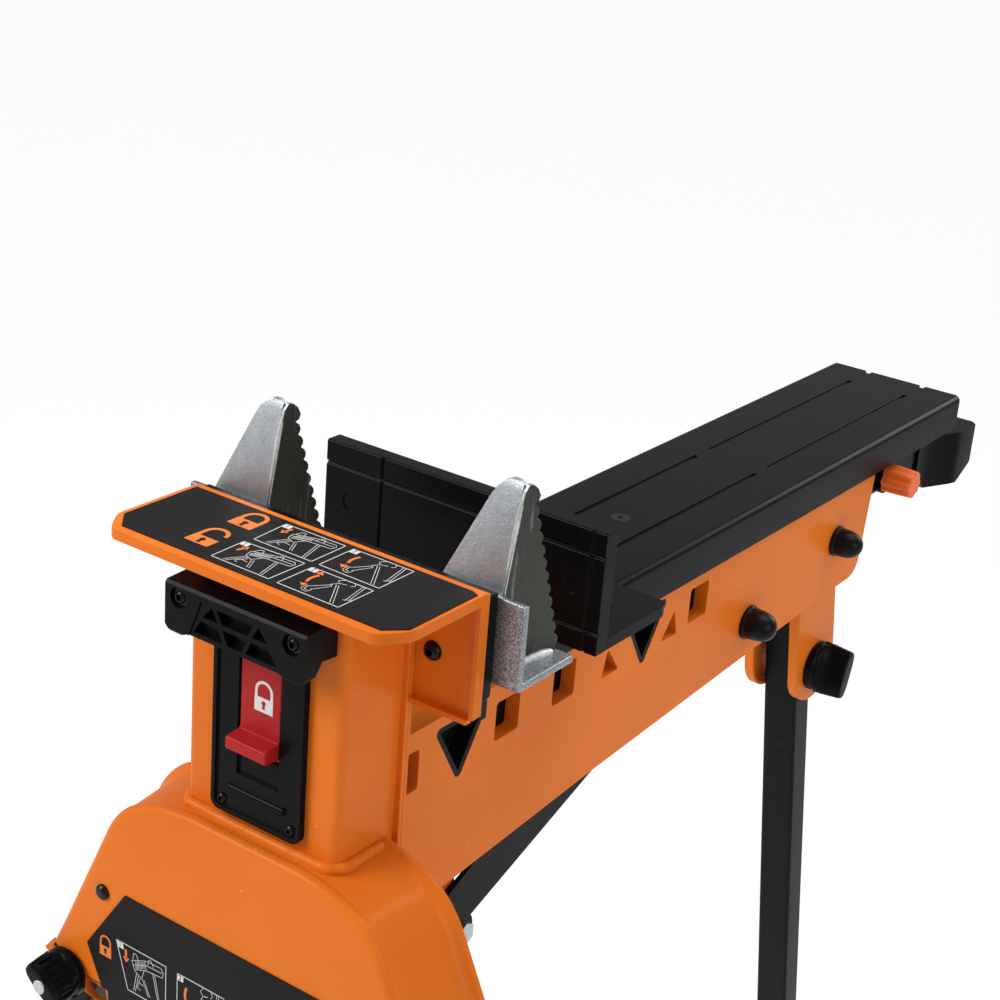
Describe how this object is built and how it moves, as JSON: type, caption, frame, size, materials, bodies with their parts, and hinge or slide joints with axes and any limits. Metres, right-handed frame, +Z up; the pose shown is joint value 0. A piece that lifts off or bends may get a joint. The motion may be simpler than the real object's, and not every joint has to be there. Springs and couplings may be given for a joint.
{
  "type": "portable_clamping_workbench",
  "caption": "Portable clamping workbench: orange steel head, column and beam on folding black legs, fixed and sliding jaws, toothed log jaws, pedal lever and lock switch.",
  "frame": {"origin": "middle of the footprint box, on the floor", "axes": "X to the right, Y from the head towards the tail, Z up"},
  "size_m": [0.8516, 0.9714, 1.0076],
  "materials": {
    "orange_paint": "glossy orange powder coat",
    "black_paint": "satin black powder coat",
    "panel_print": "satin black sheet",
    "black_plastic": "moulded black plastic, fine grain",
    "red_plastic": "glossy red moulding",
    "orange_plastic": "orange moulding",
    "white_nylon": "plain nylon",
    "black_rubber": "satin black rubber",
    "zinc": "mottled bright zinc plating",
    "bright_steel": "plated steel",
    "black_steel": "blackened steel"
  },
  "bodies": {
    "frame": {"column": "orange_paint", "column_back": "orange_paint", "head_shell": "orange_paint", "head_back": "orange_paint", "top_panel": "panel_print", "jaw_pad": "black_plastic", "head_screws": "black_steel", "log_bracket_r": "zinc", "log_bracket_l": "zinc", "log_blade_r": "zinc", "log_blade_l": "zinc", "switch_plate": "black_plastic", "plate_screws": "black_steel", "guard": "black_plastic", "guard_screws": "black_steel", "beam_side_r": "orange_paint", "beam_side_l": "orange_paint", "beam_top": "orange_paint", "beam_liner": "black_paint", "vee_bezels": "black_plastic", "axles": "bright_steel", "spacers": "bright_steel", "caps": "black_rubber", "tail_block": "black_plastic", "rear_bridge": "orange_paint", "rear_bracket_r": "orange_paint", "rear_bracket_l": "orange_paint", "rear_bolt": "bright_steel", "apron": "orange_paint", "apron_panel": "panel_print", "leg_plate": "orange_paint", "leg_pivots": "black_steel", "lever_brackets": "orange_paint", "lever_pin": "bright_steel", "return_spring": "bright_steel"},
    "switch": {"red_slider": "red_plastic"},
    "roller_f": {"roller_front": "white_nylon"},
    "roller_r": {"roller_rear": "white_nylon"},
    "tail_knob": {"lock_knob": "orange_plastic", "lock_screw": "bright_steel"},
    "rear_leg": {"rear_leg": "black_paint", "rear_foot": "black_rubber"},
    "rear_knob": {"rear_knob": "black_plastic"},
    "leg_r": {"front_leg_r": "black_paint", "front_foot_r": "black_rubber", "knob_bolt_r": "bright_steel"},
    "leg_l": {"front_leg_l": "black_paint", "front_foot_l": "black_rubber", "knob_bolt_l": "bright_steel"},
    "knob_r": {"front_knob_r": "black_plastic"},
    "knob_l": {"front_knob_l": "black_plastic"},
    "lever": {"lever": "black_paint", "pedal_pad": "black_rubber"},
    "pawl": {"pawl": "bright_steel"},
    "slide": {"tray": "black_plastic", "tray_screw": "black_steel", "slide_channel": "bright_steel", "rack_bar": "bright_steel", "jaw_plate": "black_plastic", "jaw_shelf": "black_plastic"}
  },
  "joints": [
    {"name": "jaw_slide", "type": "slide", "parent": "frame", "child": "slide", "axis": [0, 1, 0], "range_m": [-0.036, 0.23]},
    {"name": "roller_front_spin", "type": "hinge", "parent": "frame", "child": "roller_f", "pos_m": [0, 0.14835, 0.8608], "axis": [1, 0, 0], "continuous": true},
    {"name": "roller_rear_spin", "type": "hinge", "parent": "frame", "child": "roller_r", "pos_m": [0, 0.23235, 0.8608], "axis": [1, 0, 0], "continuous": true},
    {"name": "lock_slide", "type": "slide", "parent": "frame", "child": "switch", "axis": [0, 0, 1], "range_m": [0, 0.026]},
    {"name": "pedal_press", "type": "hinge", "parent": "frame", "child": "lever", "pos_m": [0, -0.10665, 0.699], "axis": [1, 0, 0], "range_deg": [0, 10], "stiffness_Nm_per_rad": 20},
    {"name": "pawl_release", "type": "hinge", "parent": "lever", "child": "pawl", "pos_m": [0, 0.04235, 0.788], "axis": [-1, 0, 0], "range_deg": [0, 13]},
    {"name": "tail_knob_turn", "type": "hinge", "parent": "frame", "child": "tail_knob", "pos_m": [0, 0.33935, 0.8532], "axis": [1, 0, 0], "continuous": true},
    {"name": "rear_leg_fold", "type": "hinge", "parent": "frame", "child": "rear_leg", "pos_m": [0, 0.31735, 0.708], "axis": [-1, 0, 0], "range_deg": [0, 88]},
    {"name": "rear_knob_turn", "type": "hinge", "parent": "frame", "child": "rear_knob", "pos_m": [0, 0.31735, 0.708], "axis": [1, 0, 0], "continuous": true},
    {"name": "leg_fold_right", "type": "hinge", "parent": "frame", "child": "leg_r", "pos_m": [0.092, -0.23665, 0.75], "axis": [0, 1, 0], "range_deg": [0, 19]},
    {"name": "leg_fold_left", "type": "hinge", "parent": "frame", "child": "leg_l", "pos_m": [-0.092, -0.23665, 0.75], "axis": [0, -1, 0], "range_deg": [0, 19]},
    {"name": "leg_knob_right_turn", "type": "hinge", "parent": "leg_r", "child": "knob_r", "pos_m": [0.1174, -0.23665, 0.69017], "axis": [0, 1, 0], "continuous": true},
    {"name": "leg_knob_left_turn", "type": "hinge", "parent": "leg_l", "child": "knob_l", "pos_m": [-0.1174, -0.23665, 0.69017], "axis": [0, 1, 0], "continuous": true}
  ],
  "couplings": [
    {"joint": "pawl_release", "follows": "lock_slide", "rad_per_m": 8.5}
  ]
}
